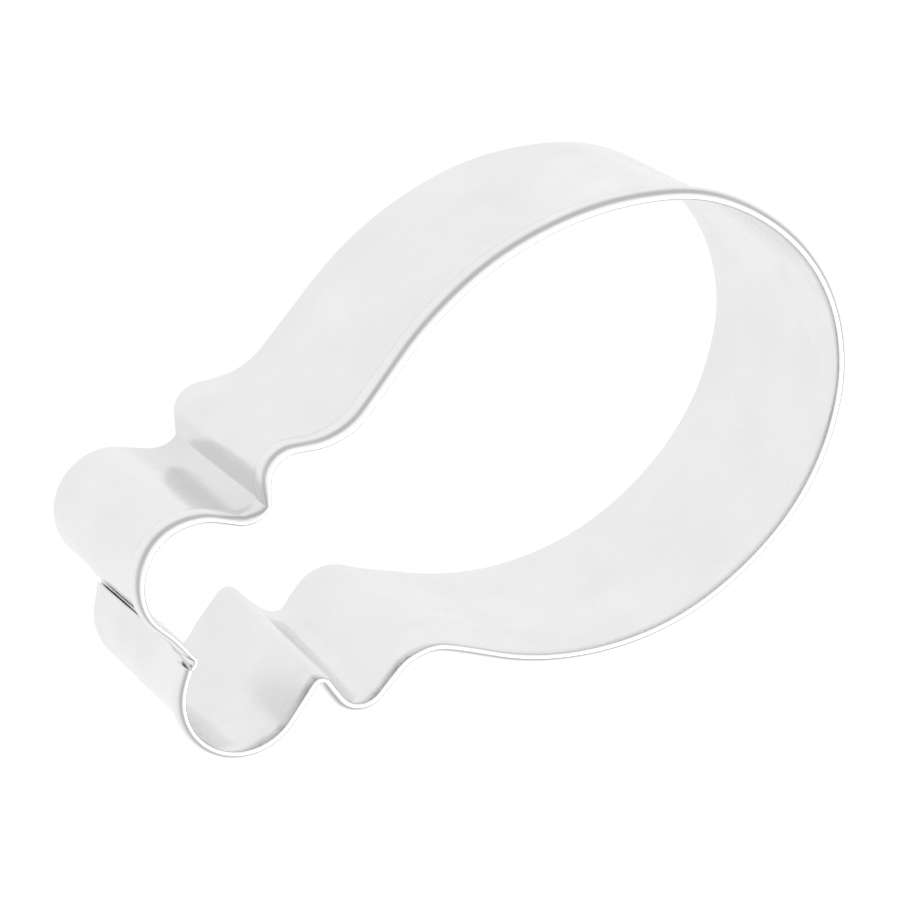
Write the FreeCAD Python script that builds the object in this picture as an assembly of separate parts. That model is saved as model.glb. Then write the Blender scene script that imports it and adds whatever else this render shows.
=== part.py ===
import FreeCAD, Part
import math
import os

from FreeCAD import Vector

# Turkey leg cookie cutter: one strip of tinplate, folded over along its top edge, bent on edge into
# a drumstick, and lapped and spot-welded at the notch in the end of the bone.

# The strip, in millimetres
band_height = 25.4
sheet = 0.25

# The folded top edge, which stands outside the wall
hem_width = 1.15
hem_depth = 3.3
hem_toe_gap = 0.08
fold_sides = 8

# The sharpest corners: the fold is pressed together there until only this radius is left outside it.
pinch_radius = 0.05
pinched_bend = hem_width + pinch_radius

# The lap at the end notch: the inner end runs on behind the outer one
lap_length = 5.0
lap_top_margin = 0.3
seam_gap = 0.3
hem_slit_start = hem_width / 2
weld_diameter = 1.6
weld_depth = 0.08
weld_edge_distance = 6.0

# The bends of the wall's inner face, seen from above: centre x, centre y, radius
belly_end = (18.1, 0.9, 19.2)
neck_left = (-14.3, 20.1, 7.7)
collar_left = (-19.1, 10.7, 2.7)
notch_left = (-23.42, 10.43, pinched_bend)
dip_left = (-24.45, 11.85, 2.85)
knuckle_left = (-31.1, 6.0, 5.7)
end_notch = (-35.8, -0.5, pinched_bend)
knuckle_right = (-31.65, -6.1, 5.6)
notch_right = (-24.0, -9.74, pinched_bend)
collar_right = (-19.9, -10.35, 2.4)
neck_right = (-14.2, -15.9, 5.0)

# Each shoulder has a centre of its own, and its radius runs smoothly into the belly's end.
shoulder_left_centre = (12.3, -13.0)
shoulder_right_centre = (11.0, 8.1)


def round_bend_touching(centre, bend):
    """The wider bend about this centre that touches a narrower one from outside."""
    x, y, r = bend
    return (*centre, r + math.hypot(centre[0] - x, centre[1] - y))


shoulder_left = round_bend_touching(shoulder_left_centre, belly_end)
shoulder_right = round_bend_touching(shoulder_right_centre, belly_end)

# A bend with its centre inside the shape is full, the others are hollow.
FULL = 1
HOLLOW = -1

# The drumstick, anticlockwise from the end notch
BENDS = [
    (end_notch, HOLLOW),
    (knuckle_right, FULL),
    (notch_right, HOLLOW),
    (collar_right, FULL),
    (neck_right, HOLLOW),
    (shoulder_right, FULL),
    (belly_end, FULL),
    (shoulder_left, FULL),
    (neck_left, HOLLOW),
    (collar_left, FULL),
    (notch_left, HOLLOW),
    (dip_left, HOLLOW),
    (knuckle_left, FULL),
]

UP = Vector(0, 0, 1)
shortest_run = 0.001
cut_margin = 1.0
fold_radius = hem_width / 2
fold_height = band_height - fold_radius
toe_height = band_height - hem_depth


def direction(angle):
    return Vector(math.cos(angle), math.sin(angle), 0)


def outward(angle):
    """The wall's outward normal where the strip runs at this angle."""
    return direction(angle - math.pi / 2)


def run_angle(first, second):
    """The angle of the straight run that touches two bends."""
    (x1, y1, r1), side1 = first
    (x2, y2, r2), side2 = second
    centres = math.atan2(y2 - y1, x2 - x1)
    lean = (side2 * r2 - side1 * r1) / math.hypot(x2 - x1, y2 - y1)
    return centres - math.asin(max(-1, min(1, lean)))


def bend_point(bend, angle):
    """The point of a bend's inner face where the strip runs at this angle."""
    (x, y, r), side = bend
    return Vector(x, y, 0) + outward(angle) * side * r


def strip_path():
    """The strip's arcs and straight runs in order, which start and end in the middle of the end notch."""
    count = len(BENDS)
    angles = [run_angle(BENDS[i], BENDS[(i + 1) % count]) for i in range(count)]
    path = []
    for i, bend in enumerate(BENDS):
        before = angles[i - 1]
        turn = math.remainder(angles[i] - before, 2 * math.pi)
        path.append({"bend": bend, "start": before, "turn": turn})
        leaves = bend_point(bend, angles[i])
        meets = bend_point(BENDS[(i + 1) % count], angles[i])
        gap = (meets - leaves).Length
        if gap > shortest_run:
            path.append({"from": leaves, "angle": angles[i], "length": gap})
    first = path.pop(0)
    half = first["turn"] / 2
    path.insert(0, {"bend": first["bend"], "start": first["start"] + half, "turn": half})
    path.append({"bend": first["bend"], "start": first["start"], "turn": half})
    return path


def first_part(path, length):
    """The pieces of the path up to this length along the inner face."""
    pieces = []
    for piece in path:
        whole = abs(piece["turn"]) * piece["bend"][0][2] if "bend" in piece else piece["length"]
        share = min(1, length / whole)
        short = dict(piece)
        if "bend" in piece:
            short["turn"] = piece["turn"] * share
        else:
            short["length"] = piece["length"] * share
        pieces.append(short)
        length -= whole
        if length <= 0:
            break
    return pieces


def end_of(piece):
    """The inner face's point and the strip's angle where a bend or a straight run ends."""
    if "bend" in piece:
        angle = piece["start"] + piece["turn"]
        return bend_point(piece["bend"], angle), angle
    return piece["from"] + direction(piece["angle"]) * piece["length"], piece["angle"]


def place(section, point, angle):
    """A face from a section's corners, stood on the path across the strip."""
    across = outward(angle)
    corners = [point + across * n + UP * z for n, z in section]
    return Part.Face(Part.makePolygon(corners + corners[:1]))


def fold_round(radius):
    """Half a turn about the fold's middle, from the wall over the top to the flap."""
    turns = [math.pi * (1 - i / fold_sides) for i in range(fold_sides + 1)]
    return [(fold_radius + radius * math.cos(t), fold_height + radius * math.sin(t)) for t in turns]


def hemmed_section():
    """The strip's section: plain cutting edge at the bottom, top edge rolled outward and down to a toe."""
    toe = sheet + hem_toe_gap
    hollow = [(sheet, 0), *fold_round(fold_radius - sheet), (toe, toe_height)]
    skin = [(0, 0), *fold_round(fold_radius), (toe + sheet, toe_height)]
    return hollow + skin[::-1]


def plain_section(inside, outside, bottom, top):
    return [(inside, bottom), (outside, bottom), (outside, top), (inside, top)]


def bent_solid(section, piece):
    (x, y, r), side = piece["bend"]
    face = place(section, bend_point(piece["bend"], piece["start"]), piece["start"])
    return face.revolve(Vector(x, y, 0), UP, math.degrees(piece["turn"]))


def straight_solid(section, piece):
    face = place(section, piece["from"], piece["angle"])
    return face.extrude(direction(piece["angle"]) * piece["length"])


def strip_solids(section, path):
    """The section carried along the path, one solid for each bend and each straight run."""
    solids = []
    for piece in path:
        carry = bent_solid if "bend" in piece else straight_solid
        solids.append(carry(section, piece))
    return solids


def cutter_band():
    path = strip_path()
    band = strip_solids(hemmed_section(), path)

    # The inner end of the strip, trimmed below the hem, lies against the outer end from the crease on.
    lap_top = toe_height - lap_top_margin
    tail = strip_solids(plain_section(-sheet, 0, 0, lap_top), first_part(path, lap_length))
    body = band[0].multiFuse(band[1:] + tail).removeSplitter()

    # The outer end stops short of the crease, and its raw edge shows there.
    crease = path[1]
    slot = plain_section(0, 2 * sheet, -cut_margin, toe_height - sheet)
    gap = dict(crease, length=seam_gap)
    body = body.cut(straight_solid(slot, gap))

    # The fold's two ends meet there too, with a slit between them down its outer half.
    slit = plain_section(hem_slit_start, 2 * hem_width, toe_height - cut_margin, band_height + cut_margin)
    body = body.cut(straight_solid(slit, gap))

    # Two round weld marks are pressed into the middle of the lap from inside.
    middle, angle = end_of(first_part(path, lap_length / 2)[-1])
    across = outward(angle)
    for height in (weld_edge_distance, lap_top - weld_edge_distance):
        foot = middle + UP * height - across * 2 * sheet
        mark = Part.makeCylinder(weld_diameter / 2, sheet + weld_depth, foot, across)
        body = body.cut(mark)
    return body


def main():
    os.makedirs("parts", exist_ok=True)
    cutter_band().exportStep("parts/cutter_band.step")


main()
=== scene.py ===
import math

import bpy
from mathutils import Matrix, Vector


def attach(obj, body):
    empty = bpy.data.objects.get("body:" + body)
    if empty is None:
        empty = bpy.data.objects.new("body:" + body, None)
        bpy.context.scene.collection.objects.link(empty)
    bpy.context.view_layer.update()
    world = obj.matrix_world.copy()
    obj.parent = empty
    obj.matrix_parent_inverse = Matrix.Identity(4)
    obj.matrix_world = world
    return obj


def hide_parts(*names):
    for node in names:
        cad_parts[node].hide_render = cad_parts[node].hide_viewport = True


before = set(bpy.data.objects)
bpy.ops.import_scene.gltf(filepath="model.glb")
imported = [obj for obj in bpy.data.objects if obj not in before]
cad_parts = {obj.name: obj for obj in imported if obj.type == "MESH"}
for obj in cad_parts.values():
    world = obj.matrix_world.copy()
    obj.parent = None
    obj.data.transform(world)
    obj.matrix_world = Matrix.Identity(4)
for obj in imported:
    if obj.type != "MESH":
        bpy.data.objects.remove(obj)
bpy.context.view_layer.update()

# The photograph's camera: it looks steeply down on the rim from beside the leg, far off through a long lens,
# and is rolled so that the bone points to the left of the picture.
camera_data = bpy.data.cameras.new("camera")
camera_data.lens = 154.0
camera_data.sensor_width = 36.0
camera_data.clip_start = 0.01
camera_data.clip_end = 50.0
camera = bpy.data.objects.new("camera", camera_data)
camera.location = (-0.100255, 0.161142, 0.339799)
camera.rotation_euler = [math.radians(a) for a in (-17.9756, -24.5261, -20.1817)]
bpy.context.scene.collection.objects.link(camera)
bpy.context.scene.camera = camera
bpy.context.scene.view_settings.view_transform = "Standard"


# The studio: a pale floor under a white surround, which the tinplate mirrors, and one broad soft lamp.
# The floor and the surround show as plain white, and the floor keeps a faint shadow of the cutter.
def seen_rays(nodes, links):
    """One for a ray that is seen directly, in a gloss or through glass, and nought for one that only lights."""
    path = nodes.new("ShaderNodeLightPath")
    first = nodes.new("ShaderNodeMath")
    first.operation = "MAXIMUM"
    links.new(path.outputs["Is Camera Ray"], first.inputs[0])
    links.new(path.outputs["Is Glossy Ray"], first.inputs[1])
    both = nodes.new("ShaderNodeMath")
    both.operation = "MAXIMUM"
    links.new(first.outputs[0], both.inputs[0])
    links.new(path.outputs["Is Transmission Ray"], both.inputs[1])
    return both.outputs[0]


# The surround is white overhead and greyer towards the horizon, so the band's walls mirror a pale grey.
white = (1, 1, 1, 1)
horizon_grey = (0.46, 0.46, 0.46, 1)
world = bpy.data.worlds.new("studio")
bpy.context.scene.world = world
world.use_nodes = True
nodes, links = world.node_tree.nodes, world.node_tree.links
nodes.clear()
direction = nodes.new("ShaderNodeTexCoord")
height = nodes.new("ShaderNodeSeparateXYZ")
links.new(direction.outputs["Generated"], height.inputs[0])
room = nodes.new("ShaderNodeValToRGB")
room.color_ramp.interpolation = "EASE"
horizon, overhead = room.color_ramp.elements
horizon.position = 0.02
horizon.color = horizon_grey
overhead.position = 0.26
overhead.color = white
links.new(height.outputs["Z"], room.inputs[0])
surround = nodes.new("ShaderNodeBackground")
links.new(room.outputs["Color"], surround.inputs["Color"])
surround.inputs["Strength"].default_value = 1.18
backdrop = nodes.new("ShaderNodeBackground")
backdrop.inputs["Color"].default_value = white
ambient = nodes.new("ShaderNodeBackground")
ambient.inputs["Color"].default_value = white
ambient.inputs["Strength"].default_value = 0.8
lit_or_seen = nodes.new("ShaderNodeMixShader")
links.new(seen_rays(nodes, links), lit_or_seen.inputs["Fac"])
links.new(ambient.outputs[0], lit_or_seen.inputs[1])
links.new(surround.outputs[0], lit_or_seen.inputs[2])
path = nodes.new("ShaderNodeLightPath")
direct = nodes.new("ShaderNodeMixShader")
links.new(path.outputs["Is Camera Ray"], direct.inputs["Fac"])
links.new(lit_or_seen.outputs[0], direct.inputs[1])
links.new(backdrop.outputs[0], direct.inputs[2])
out = nodes.new("ShaderNodeOutputWorld")
links.new(direct.outputs[0], out.inputs["Surface"])

# The floor is a sheet of white board, a hair below the cutting edge. It glows white where it is seen, and its
# mirrored part darkens away from the cutter.
floor_width = 6.0
floor_drop = 0.00005
floor_white = 1.03
far_floor = 0.54
shadow_share = 0.07
bpy.ops.object.select_all(action="DESELECT")
bpy.ops.mesh.primitive_plane_add(size=floor_width, location=(0, 0, -floor_drop))
floor = bpy.context.object
floor.name = "floor"
floor_paint = bpy.data.materials.new("white_floor")
floor_paint.use_nodes = True
nodes, links = floor_paint.node_tree.nodes, floor_paint.node_tree.links
nodes.clear()
glow_share = nodes.new("ShaderNodeMath")
glow_share.operation = "MULTIPLY"
links.new(seen_rays(nodes, links), glow_share.inputs[0])
glow_share.inputs[1].default_value = 1 - shadow_share
matt = nodes.new("ShaderNodeBsdfDiffuse")
matt.inputs["Color"].default_value = (0.95, 0.95, 0.95, 1)
floor_place = nodes.new("ShaderNodeTexCoord")
oval = nodes.new("ShaderNodeMapping")
oval.inputs["Scale"].default_value = (0.6, 1, 1)
links.new(floor_place.outputs["Object"], oval.inputs["Vector"])
away = nodes.new("ShaderNodeVectorMath")
away.operation = "LENGTH"
links.new(oval.outputs["Vector"], away.inputs[0])
fade = nodes.new("ShaderNodeMapRange")
fade.interpolation_type = "SMOOTHSTEP"
fade.inputs["From Min"].default_value = 0.036
fade.inputs["From Max"].default_value = 0.08
fade.inputs["To Min"].default_value = floor_white
fade.inputs["To Max"].default_value = far_floor
links.new(away.outputs["Value"], fade.inputs["Value"])
view = nodes.new("ShaderNodeLightPath")
floor_level = nodes.new("ShaderNodeMix")
links.new(view.outputs["Is Camera Ray"], floor_level.inputs["Factor"])
links.new(fade.outputs["Result"], floor_level.inputs["A"])
floor_level.inputs["B"].default_value = floor_white
glow = nodes.new("ShaderNodeEmission")
links.new(floor_level.outputs["Result"], glow.inputs["Strength"])
mix = nodes.new("ShaderNodeMixShader")
links.new(glow_share.outputs[0], mix.inputs["Fac"])
links.new(matt.outputs[0], mix.inputs[1])
links.new(glow.outputs[0], mix.inputs[2])
out = nodes.new("ShaderNodeOutputMaterial")
links.new(mix.outputs[0], out.inputs["Surface"])
floor.data.materials.append(floor_paint)

lamp_data = bpy.data.lights.new("softbox", "AREA")
lamp_data.shape = "DISK"
lamp_data.size = 0.7
lamp_data.energy = 7.0
lamp = bpy.data.objects.new("softbox", lamp_data)
lamp.location = (0.5, -0.7, 1.1)
lamp.rotation_euler = (Vector((0, 0, 0)) - lamp.location).to_track_quat("-Z", "Y").to_euler()
bpy.context.scene.collection.objects.link(lamp)

# The band: tinplate about a quarter of a millimetre thick, folded over along its top edge and bent on edge
# round formers, with its ends lapped and spot-welded at the notch in the end of the bone.
mm = 0.001
band_height = 25.4 * mm
sheet = 0.25 * mm


def forward(angle):
    """The way along the strip where it runs at this angle."""
    return Vector((math.cos(angle), math.sin(angle), 0))


def outward(angle):
    """The way out of the leg, across the strip."""
    return Vector((math.sin(angle), -math.cos(angle), 0))


# The bends of the wall's inner face in mm, seen from above: centre x, centre y, radius. A bend with its centre
# inside the leg is full, the others are hollow. Each shoulder's radius makes it touch the belly's end.
FULL = 1
HOLLOW = -1
belly_end = (18.1, 0.9, 19.2)


def shoulder(x, y):
    return (x, y, belly_end[2] + math.hypot(x - belly_end[0], y - belly_end[1]))


end_notch = ((-35.15, -0.6, 0.55), HOLLOW)
knuckle_right = ((-31.56, -6.23, 5.71), FULL)
notch_right = ((-24.37, -9.75, 1.2), HOLLOW)
collar_right = ((-20.45, -11.0, 2.25), FULL)
neck_right = ((-14.2, -15.9, 5.0), HOLLOW)
shoulder_right = (shoulder(11.0, 8.1), FULL)
belly = (belly_end, FULL)
shoulder_left = (shoulder(12.3, -13.0), FULL)
neck_left = ((-14.3, 20.1, 7.7), HOLLOW)
collar_left = ((-19.1, 10.7, 2.7), FULL)
notch_left = ((-23.07, 10.22, 0.75), HOLLOW)
dip_left = ((-24.45, 11.85, 2.85), HOLLOW)
knuckle_left = ((-31.1, 6.0, 5.7), FULL)
bends = [
    end_notch,
    knuckle_right,
    notch_right,
    collar_right,
    neck_right,
    shoulder_right,
    belly,
    shoulder_left,
    neck_left,
    collar_left,
    notch_left,
    dip_left,
    knuckle_left,
]


def run_angle(first, second):
    """The angle of the straight run that touches two bends."""
    (x1, y1, r1), side1 = first
    (x2, y2, r2), side2 = second
    lean = (side2 * r2 - side1 * r1) / math.hypot(x2 - x1, y2 - y1)
    return math.atan2(y2 - y1, x2 - x1) - math.asin(max(-1, min(1, lean)))


def bend_point(bend, angle):
    """The point of a bend's inner face where the strip runs at this angle."""
    (x, y, r), side = bend
    return Vector((x, y, 0)) * mm + outward(angle) * side * r * mm


# The inner end of the strip goes through the crease behind the outer one, so its own crease lies further in by
# the thickness of the sheet.
lap_gap = 0.02 * mm
first_angle = run_angle(end_notch, knuckle_right)
(x, y, r), side = end_notch
behind = Vector((x, y, 0)) - outward(first_angle) * (sheet + lap_gap) / mm
tour = bends + [((behind.x, behind.y, r), side)]
angles = [run_angle(tour[i], tour[i + 1]) for i in range(len(bends))] + [first_angle]

# Stations along the strip, each a short run or a short turn from the one before, up to a short hook that the
# inner end keeps beyond the crease.
seam_gap = 0.2 * mm
hook = 0.35 * mm
run_step = 0.8 * mm
bend_step = 0.4 * mm
fewest_turns = 4
shortest_run = 1e-6
stations = []
middle_of = {}
done = seam_gap
for i in range(1, len(tour)):
    (x, y, r), side = tour[i]
    span = (bend_point(tour[i], angles[i - 1]) - bend_point(tour[i - 1], angles[i - 1])).length
    span -= seam_gap if i == 1 else 0
    steps = max(1, round(span / run_step))
    if span > shortest_run:
        stations += [(0.0, None, span / steps)] * steps
        done += span
    turn = math.remainder(angles[i] - angles[i - 1], 2 * math.pi)
    arc = abs(turn) * r * mm
    steps = max(fewest_turns, round(arc / bend_step))
    stations += [(turn / steps, Vector((x, y, 0)) * mm, arc / steps)] * steps
    middle_of[tour[i]] = done + arc / 2
    done += arc
stations.append((0.0, None, hook))
whole_length = done

# The fold is crushed narrower where the strip is creased, is tighter round the bone's end and fuller round the
# thick end of the leg, and was never quite even along its length. Each change is a place along the strip, how
# much narrower the fold is there, and how far that spreads.
usual_share = 0.97
widest_share = 1.13
waves = [(0.02, 4.3 * mm, 0.0), (0.015, 1.9 * mm, 1.0)]
narrower = [
    (middle_of[notch_right], 0.1, 1.0 * mm),
    (middle_of[notch_left], 0.5, 1.5 * mm),
    (0.0, 0.36, 9.0 * mm),
    (whole_length, 0.36, 10.0 * mm),
    (whole_length, 0.25, 1.1 * mm),
    (middle_of[belly], -0.16, 26.0 * mm),
]


def fold_share(distance):
    """The fold's width at a distance along the strip, as a share of its full width."""
    share = usual_share
    for swing, length, phase in waves:
        share += swing * math.sin(distance / length + phase)
    for middle, depth, spread in narrower:
        share -= depth * math.exp(-((distance - middle) / spread) ** 2)
    return min(share, widest_share)


# The strip's section at its outer end: the top of the fold is most of a small circle's upper half. From it the
# flare leads down to the wall inside, and the flap hangs outside with its toe turned back to the wall.
same_place = 1e-6
roll_radius = 0.18 * mm
roll_vertices = 36
roll_turn = math.radians(5)
roll_margin = 0.05
wall_set_in = 0.15 * mm
wall_lean = math.radians(25)
flare_row = 0.15 * mm
flare_count = 8
flare_power = 1.4
flap_lean = math.radians(45)
flap_row = 0.15 * mm
flap_count = 8
toe_lean = math.radians(-24)
toe_row = 0.47 * mm
toe_count = 4
flare_rows = [(flare_row, wall_lean * (1 - (i + 0.5) / flare_count) ** flare_power) for i in range(flare_count)]
flap_rows = [(flap_row, flap_lean * (1 - (i + 0.5) / flap_count)) for i in range(flap_count)]
flap_rows += [(toe_row, toe_lean * (i + 0.5) / toe_count) for i in range(toe_count)]
flare_out = sum(row * math.sin(lean) for row, lean in flare_rows)
roll_out = sheet / 2 - wall_set_in + flare_out + roll_radius * math.cos(wall_lean)
roll_up = band_height - sheet / 2 - roll_radius

start = bend_point(end_notch, first_angle) + forward(first_angle) * seam_gap
across = outward(first_angle)
upright = Matrix((
    (across.x, 0, -across.y, 0),
    (across.y, 0, across.x, 0),
    (0, 1, 0, 0),
    (0, 0, 0, 1),
))
bpy.ops.object.select_all(action="DESELECT")
bpy.ops.mesh.primitive_circle_add(vertices=roll_vertices, radius=roll_radius)
tin = bpy.context.object
tin.name = "tinplate_band"
tin.data.transform(Matrix.Rotation(roll_turn, 4, "Z"))
tin.data.transform(upright)
tin.data.transform(Matrix.Translation(start + across * roll_out + Vector((0, 0, roll_up))))


def out_from_wall(co):
    return (co - start).dot(across)


def pick(test):
    """Selects the vertices that pass a test, and nothing else."""
    bpy.ops.object.mode_set(mode="OBJECT")
    for part in (tin.data.vertices, tin.data.edges, tin.data.polygons):
        for item in part:
            item.select = False
    for v in tin.data.vertices:
        v.select = test(v.co)
    bpy.ops.object.mode_set(mode="EDIT")
    bpy.ops.mesh.select_mode(type="VERT")


def extrude(step):
    """Draws the selection out by a step."""
    bpy.ops.mesh.extrude_region_move(TRANSFORM_OT_translate={"value": step})


def below_roll(co):
    """True for the circle's vertices under the ends of the roll."""
    end = wall_lean if out_from_wall(co) < roll_out else flap_lean
    return co.z < roll_up + roll_radius * math.sin(end - roll_margin)


pick(below_roll)
bpy.ops.mesh.delete(type="VERT")
bpy.ops.object.mode_set(mode="OBJECT")
inner_end = min(tin.data.vertices, key=lambda v: out_from_wall(v.co)).co.copy()
outer_end = max(tin.data.vertices, key=lambda v: out_from_wall(v.co)).co.copy()

# The wall is drawn down from the roll's inner end, with a row where the lap is trimmed, to the cutting edge.
lap_top = 21.8 * mm
foot_clear = 0.02 * mm
wall_count = 17
wall_row = across * (wall_set_in / wall_count) + Vector((0, 0, -(lap_top - foot_clear) / wall_count))
pick(lambda co: (co - inner_end).length < same_place)
wall_top = inner_end.z
for row, lean in flare_rows:
    step = across * (-row * math.sin(lean)) + Vector((0, 0, -row * math.cos(lean)))
    extrude(step)
    wall_top += step.z
extrude((0, 0, lap_top - wall_top))
for i in range(wall_count):
    extrude(wall_row)

# The flap is drawn down from its outer end.
pick(lambda co: (co - outer_end).length < same_place)
for row, lean in flap_rows:
    extrude(across * (row * math.sin(lean)) + Vector((0, 0, -row * math.cos(lean))))


# The section is carried from station to station, and narrowed or widened in the fold on the way.
def widen_fold(point, angle, factor):
    """Scales the selected section across the strip, about the middle of the wall's sheet."""
    out = outward(angle)
    axes = ((out.x, out.y, 0), (-out.y, out.x, 0), (0, 0, 1))
    bpy.ops.transform.resize(value=(factor, 1, 1), orient_matrix=axes, orient_matrix_type="GLOBAL",
                             center_override=point + out * sheet / 2)


bpy.ops.mesh.select_all(action="SELECT")
bpy.ops.mesh.select_mode(type="EDGE")
here, angle, done = start.copy(), first_angle, seam_gap
share = fold_share(done)
widen_fold(here, angle, share)
for turn, centre, span in stations:
    if turn:
        bpy.ops.mesh.spin(steps=1, angle=-turn, center=centre, axis=(0, 0, 1))
        here = centre + Matrix.Rotation(turn, 3, "Z") @ (here - centre)
        angle += turn
    else:
        along = forward(angle) * span
        extrude(along)
        here = here + along
    done += span
    widen_fold(here, angle, fold_share(done) / share)
    share = fold_share(done)

# The inner end runs on behind the outer one: without its fold for the first half millimetre, and from there
# trimmed lower, along the start of the right knuckle.
lap_length = 5.0 * mm
high_tail = 0.5 * mm
high_tail_drop = 0.4 * mm
lap_steps = 8
same_level = 1e-5
wall_reach_in = 0.6 * mm
wall_reach_out = 0.3 * mm
end_point = here.copy()
end_along = forward(angle)
end_out = outward(angle)


def at_inner_end(co, top):
    """True for the wall's vertices at the inner end, below a height."""
    level = abs((co - end_point).dot(end_along)) < same_level
    return level and co.z < top and -wall_reach_in < (co - end_point).dot(end_out) < wall_reach_out


pick(lambda co: at_inner_end(co, band_height - high_tail_drop))
bpy.ops.mesh.select_mode(type="EDGE")
extrude(end_along * high_tail)
end_point = end_point + end_along * high_tail
pick(lambda co: at_inner_end(co, lap_top + same_level))
bpy.ops.mesh.select_mode(type="EDGE")
(x, y, r), side = knuckle_right
knuckle_start = bend_point(knuckle_right, first_angle) - outward(first_angle) * (sheet + lap_gap)
run_left = (knuckle_start - end_point).dot(end_along)
extrude(end_along * run_left)
lap_turn = (lap_length - hook - high_tail - run_left) / (r * mm)
bpy.ops.mesh.spin(steps=lap_steps, angle=-lap_turn, center=(x * mm, y * mm, 0), axis=(0, 0, 1))

bpy.ops.mesh.select_mode(type="VERT")
bpy.ops.mesh.select_all(action="SELECT")
bpy.ops.mesh.remove_doubles(threshold=same_place)
bpy.ops.mesh.normals_make_consistent(inside=False)

# The fold is cut back at the outer end, less so at its toe, and the raw edge near the foot has sprung open.
toe_bottom = 20.2 * mm
toe_top = 22.0 * mm
fold_cut = 0.62 * mm
toe_cut = 0.25 * mm
sprung_from = 3.0 * mm
sprung_to = 6.5 * mm
sprung_open = 0.13 * mm
sprung_reach = 6.0 * mm
section_reach = 1.5 * mm


def at_outer_end(co, low, high):
    """True for the section's vertices at the outer end, between two heights."""
    level = abs((co - start).dot(end_along)) < same_level
    return level and abs(out_from_wall(co)) < section_reach and low < co.z < high


pick(lambda co: at_outer_end(co, toe_top, band_height))
bpy.ops.transform.translate(value=end_along * fold_cut)
pick(lambda co: at_outer_end(co, toe_bottom, toe_top))
bpy.ops.transform.translate(value=end_along * toe_cut)
pick(lambda co: at_outer_end(co, sprung_from, sprung_to))
bpy.ops.transform.translate(value=across * sprung_open, use_proportional_edit=True,
                            proportional_size=sprung_reach, proportional_edit_falloff="SMOOTH",
                            use_proportional_connected=True)
bpy.ops.object.mode_set(mode="OBJECT")

# The wall isn't upright all round: the stiff fold held it back from the former at some bends. Each lean is a
# place seen from above, how far it reaches, and the shift in x and y at the foot and at the rim, all in mm.
upright_there = (0.0, 0.0)
leans = {
    "end_crease": ((-34.9, -0.5), 1.8, (-0.35, 0.0), upright_there),
    "knuckle_right_end": ((-37.3, -6.5), 3.5, (0.15, 0.2), upright_there),
    "knuckle_right_side": ((-31.5, -12.2), 3.4, (0.0, 0.4), upright_there),
    "notch_right_flank": ((-27.2, -10.2), 2.3, (-0.3, 0.3), upright_there),
    "notch_right_tip": ((-24.0, -8.9), 2.0, (0.4, 0.6), upright_there),
    "collar_right_flank": ((-21.6, -12.3), 2.6, (1.7, -0.1), upright_there),
    "collar_right_top": ((-19.5, -13.1), 1.8, (0.3, 0.35), upright_there),
    "neck_right": ((-14.0, -11.0), 2.5, upright_there, (0.0, -0.2)),
    "neck_right_run": ((-10.0, -12.9), 3.5, (-0.15, -0.2), (0.05, 0.07)),
    "shoulder_right": ((12.0, -19.5), 6.0, upright_there, (0.0, -0.13)),
    "belly_right": ((27.0, -16.8), 8.0, upright_there, (0.1, -0.17)),
    "belly_right_end": ((33.5, -10.5), 4.0, (-0.16, 0.1), (-0.08, 0.05)),
    "belly_tip": ((37.0, 1.0), 4.0, upright_there, (0.03, 0.0)),
    "belly_left_end": ((33.0, 12.0), 8.0, (-0.24, -0.14), (-0.22, -0.13)),
    "shoulder_left": ((16.0, 21.2), 6.0, (0.0, 0.13), upright_there),
    "neck_left_run": ((-10.5, 13.2), 5.0, (-0.1, 0.18), (0.05, -0.08)),
    "collar_left_top": ((-18.7, 13.4), 2.5, (0.0, -0.24), upright_there),
    "notch_left_tip": ((-22.7, 9.5), 2.0, (0.2, -0.45), (0.05, -0.1)),
    "dip_left_end": ((-28.0, 10.9), 2.0, (0.08, -0.22), (0.0, 0.08)),
    "knuckle_left_side": ((-33.0, 11.5), 3.0, (0.0, -0.08), (-0.05, 0.12)),
    "knuckle_left_end": ((-35.9, 2.2), 2.5, upright_there, (0.25, 0.08)),
}
for v in tin.data.vertices:
    up = min(1, v.co.z / band_height)
    place = Vector((v.co.x, v.co.y, 0)) / mm
    shift = Vector((0, 0, 0))
    for centre, reach, at_foot, at_rim in leans.values():
        near = math.exp(-((place - Vector((*centre, 0))).length / reach) ** 2)
        shift += (Vector((*at_foot, 0)) * (1 - up) + Vector((*at_rim, 0)) * up) * near
    v.co += shift * mm

thicken = tin.modifiers.new("thickness", "SOLIDIFY")
thicken.thickness = sheet
thicken.offset = 0.0
bpy.ops.object.modifier_apply(modifier="thickness")
bpy.ops.object.shade_smooth_by_angle(angle=math.radians(35))

# Bright tinplate: tin dulls in soft patches, some rougher than others, and the thin sheet is never quite flat.
tinplate = bpy.data.materials.new("bright_tinplate")
tinplate.use_nodes = True
nodes, links = tinplate.node_tree.nodes, tinplate.node_tree.links
skin = nodes["Principled BSDF"]
skin.inputs["Metallic"].default_value = 1.0
on_band = nodes.new("ShaderNodeTexCoord")


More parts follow.
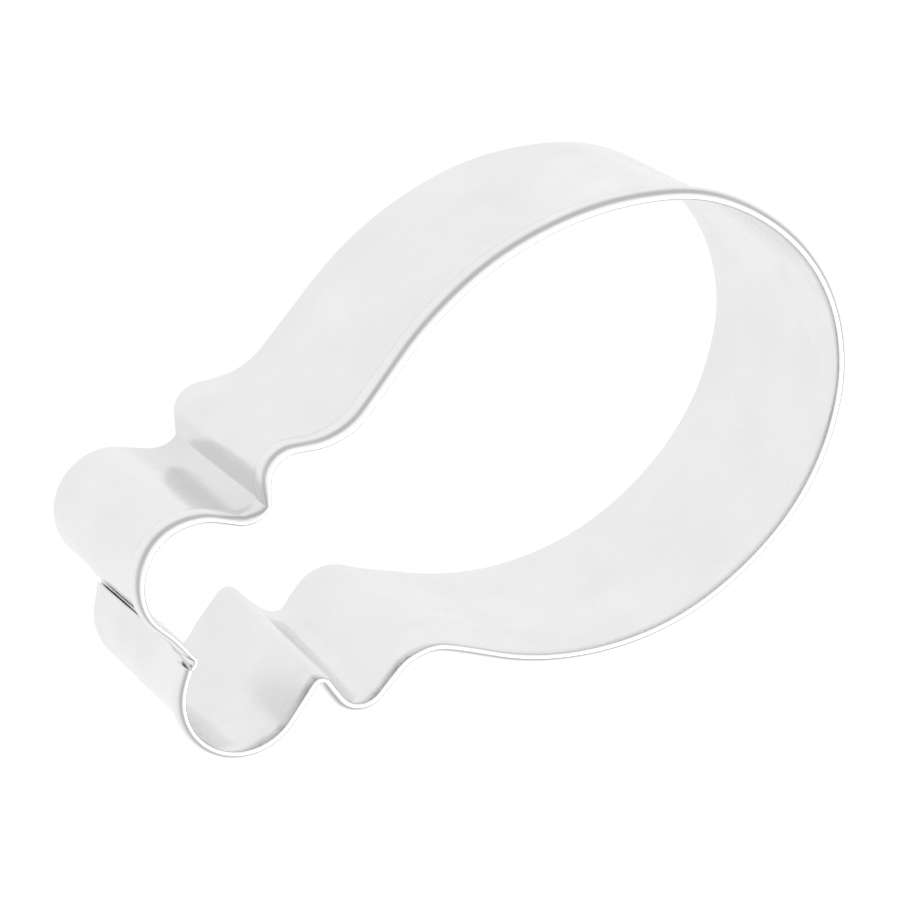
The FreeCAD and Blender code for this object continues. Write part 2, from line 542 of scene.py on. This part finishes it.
def uneven(scale, detail, low, high):
    """A value that wanders about between two levels over the sheet, in patches about 1 / scale across.

    Most of the noise lies between 0.3 and 0.7, and these become the two levels.
    """
    noise = nodes.new("ShaderNodeTexNoise")
    noise.inputs["Scale"].default_value = scale
    noise.inputs["Detail"].default_value = detail
    links.new(on_band.outputs["Object"], noise.inputs["Vector"])
    level = nodes.new("ShaderNodeMapRange")
    level.clamp = False
    level.inputs["From Min"].default_value = 0.3
    level.inputs["From Max"].default_value = 0.7
    level.inputs["To Min"].default_value = low
    level.inputs["To Max"].default_value = high
    links.new(noise.outputs[0], level.inputs["Value"])
    return level.outputs["Result"]


# Painted shade: the tin's colour is darker all down the left notch, as shade that falls in its hollow.
notch_place = Vector((-24.3, 9.3, 0)) * mm
from_notch = nodes.new("ShaderNodeVectorMath")
from_notch.operation = "MULTIPLY_ADD"
from_notch.inputs[1].default_value = (1, 1, 0)
from_notch.inputs[2].default_value = -notch_place
links.new(on_band.outputs["Object"], from_notch.inputs[0])
distance = nodes.new("ShaderNodeVectorMath")
distance.operation = "LENGTH"
links.new(from_notch.outputs["Vector"], distance.inputs[0])
# The painted shade of the notch: 0.91 of the tin's colour close to it, fading back to the full colour further
# off.
painted_notch_shade = nodes.new("ShaderNodeMapRange")
painted_notch_shade.interpolation_type = "SMOOTHSTEP"
painted_notch_shade.inputs["From Min"].default_value = 2.6 * mm
painted_notch_shade.inputs["From Max"].default_value = 4.6 * mm
painted_notch_shade.inputs["To Min"].default_value = 0.91
painted_notch_shade.inputs["To Max"].default_value = 1.0
links.new(distance.outputs["Value"], painted_notch_shade.inputs["Value"])
# The tin's tone wanders at random and carries the painted shade of the left notch.
tin_level = nodes.new("ShaderNodeMath")
tin_level.operation = "MULTIPLY"
links.new(uneven(scale=110.0, detail=3.0, low=0.825, high=0.87), tin_level.inputs[0])
links.new(painted_notch_shade.outputs["Result"], tin_level.inputs[1])
tone = nodes.new("ShaderNodeCombineColor")
for channel in ("Red", "Green", "Blue"):
    links.new(tin_level.outputs[0], tone.inputs[channel])
links.new(tone.outputs["Color"], skin.inputs["Base Color"])
links.new(uneven(scale=240.0, detail=2.0, low=0.2, high=0.29), skin.inputs["Roughness"])
ripple = nodes.new("ShaderNodeBump")
ripple.inputs["Strength"].default_value = 1.0
ripple.inputs["Distance"].default_value = 0.015 * mm
links.new(uneven(scale=130.0, detail=0.0, low=0.0, high=1.0), ripple.inputs["Height"])
links.new(ripple.outputs["Normal"], skin.inputs["Normal"])
tin.data.materials.clear()
tin.data.materials.append(tinplate)

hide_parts("cutter_band")
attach(tin, "root")
